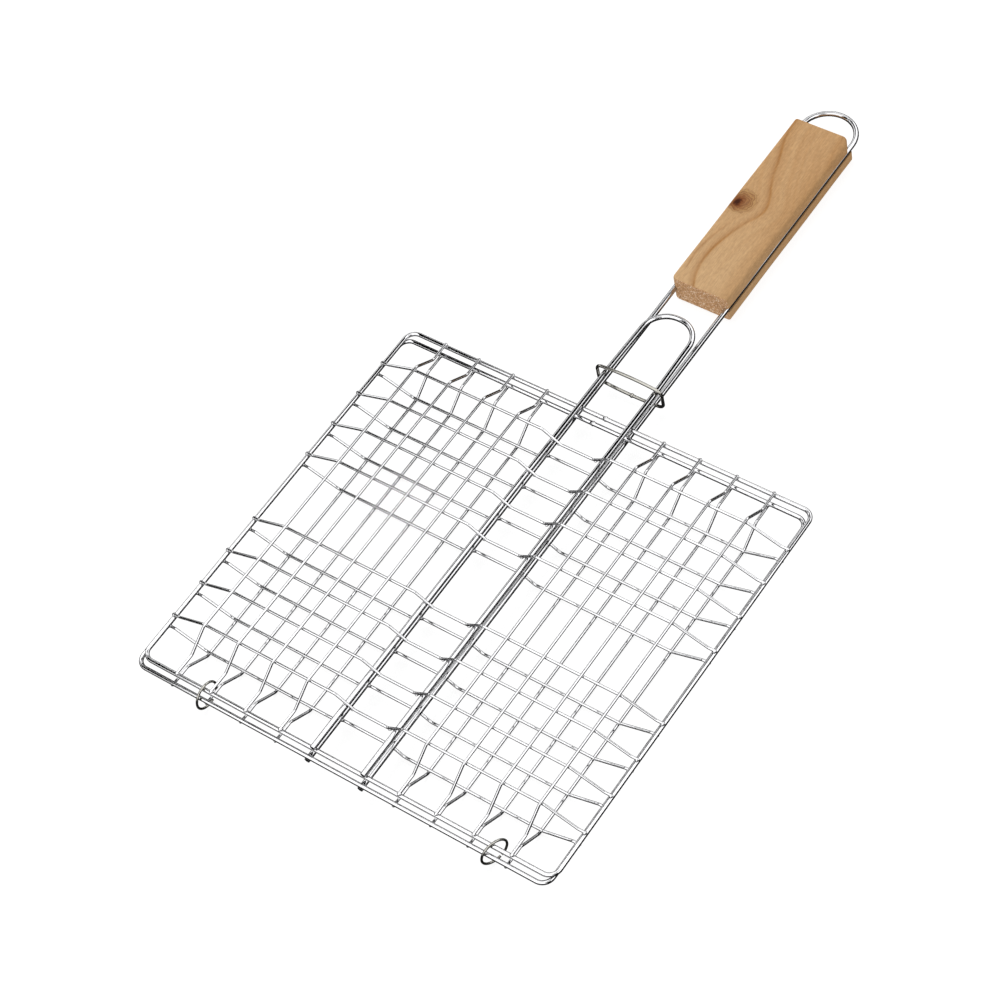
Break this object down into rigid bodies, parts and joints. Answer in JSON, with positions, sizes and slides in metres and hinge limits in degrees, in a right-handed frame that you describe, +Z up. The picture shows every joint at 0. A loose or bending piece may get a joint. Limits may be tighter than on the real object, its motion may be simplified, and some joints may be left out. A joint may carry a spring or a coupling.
{
  "type": "grill basket",
  "caption": "Two hinged wire grids that close on food, with a sliding lock ring, a wooden grip and a hanging loop.",
  "frame": {"origin": "middle of the bounding box, at the level the basket stands on", "axes": "+X across the basket, +Y from the basket towards the wooden grip, +Z up"},
  "size_m": [0.2556, 0.4861, 0.0252],
  "materials": {
    "frame_wire": "bright chrome plate on drawn steel wire",
    "mesh_wire": "bright chrome plate on thin steel wire",
    "handle_wire": "bright chrome plate on thick steel wire",
    "ring_wire": "bright plate, a little warmer and duller",
    "pine": "bare sanded pine with a knot"
  },
  "bodies": {
    "lower_grid": {"lower_frame": "frame_wire", "lower_long_wire_1": "mesh_wire", "lower_long_wire_2": "mesh_wire", "lower_long_wire_3": "mesh_wire", "lower_long_wire_4": "mesh_wire", "lower_long_wire_5": "mesh_wire", "lower_long_wire_6": "mesh_wire", "lower_long_wire_7": "mesh_wire", "lower_long_wire_8": "mesh_wire", "lower_cross_wire_1": "mesh_wire", "lower_cross_wire_2": "mesh_wire", "lower_cross_wire_3": "mesh_wire", "lower_cross_wire_4": "mesh_wire", "lower_cross_wire_5": "mesh_wire", "lower_cross_wire_6": "mesh_wire", "lower_cross_wire_7": "mesh_wire", "lower_cross_wire_8": "mesh_wire", "lower_handle_wire": "handle_wire", "wooden_grip": "pine"},
    "upper_grid": {"upper_frame": "frame_wire", "upper_long_wire_1": "mesh_wire", "upper_long_wire_2": "mesh_wire", "upper_long_wire_3": "mesh_wire", "upper_long_wire_4": "mesh_wire", "upper_long_wire_5": "mesh_wire", "upper_long_wire_6": "mesh_wire", "upper_long_wire_7": "mesh_wire", "upper_long_wire_8": "mesh_wire", "upper_cross_wire_1": "mesh_wire", "upper_cross_wire_2": "mesh_wire", "upper_cross_wire_3": "mesh_wire", "upper_cross_wire_4": "mesh_wire", "upper_cross_wire_5": "mesh_wire", "upper_cross_wire_6": "mesh_wire", "upper_cross_wire_7": "mesh_wire", "upper_cross_wire_8": "mesh_wire", "upper_handle_wire": "handle_wire"},
    "lock_ring": {"lock_ring": "ring_wire"},
    "hinge_ring_left": {"hinge_ring_left": "ring_wire"},
    "hinge_ring_right": {"hinge_ring_right": "ring_wire"}
  },
  "joints": [
    {"name": "grid_hinge", "type": "hinge", "parent": "lower_grid", "child": "upper_grid", "pos_m": [0, -0.23842, 0.0126], "axis": [1, 0, 0], "range_deg": [0, 180]},
    {"name": "lock_ring_slide", "type": "slide", "parent": "lower_grid", "child": "lock_ring", "axis": [0, 1, 0], "range_m": [-0.022, 0.067]},
    {"name": "hinge_ring_left_swing", "type": "hinge", "parent": "upper_grid", "child": "hinge_ring_left", "pos_m": [-0.0846, -0.23492, 0.01395], "axis": [1, 0, 0], "range_deg": [-108, 0]},
    {"name": "hinge_ring_right_swing", "type": "hinge", "parent": "upper_grid", "child": "hinge_ring_right", "pos_m": [0.0918, -0.23492, 0.01395], "axis": [1, 0, 0], "range_deg": [-108, 0]}
  ],
  "couplings": [
    {"joint": "hinge_ring_left_swing", "follows": "grid_hinge", "ratio": -0.6},
    {"joint": "hinge_ring_right_swing", "follows": "grid_hinge", "ratio": -0.6}
  ]
}
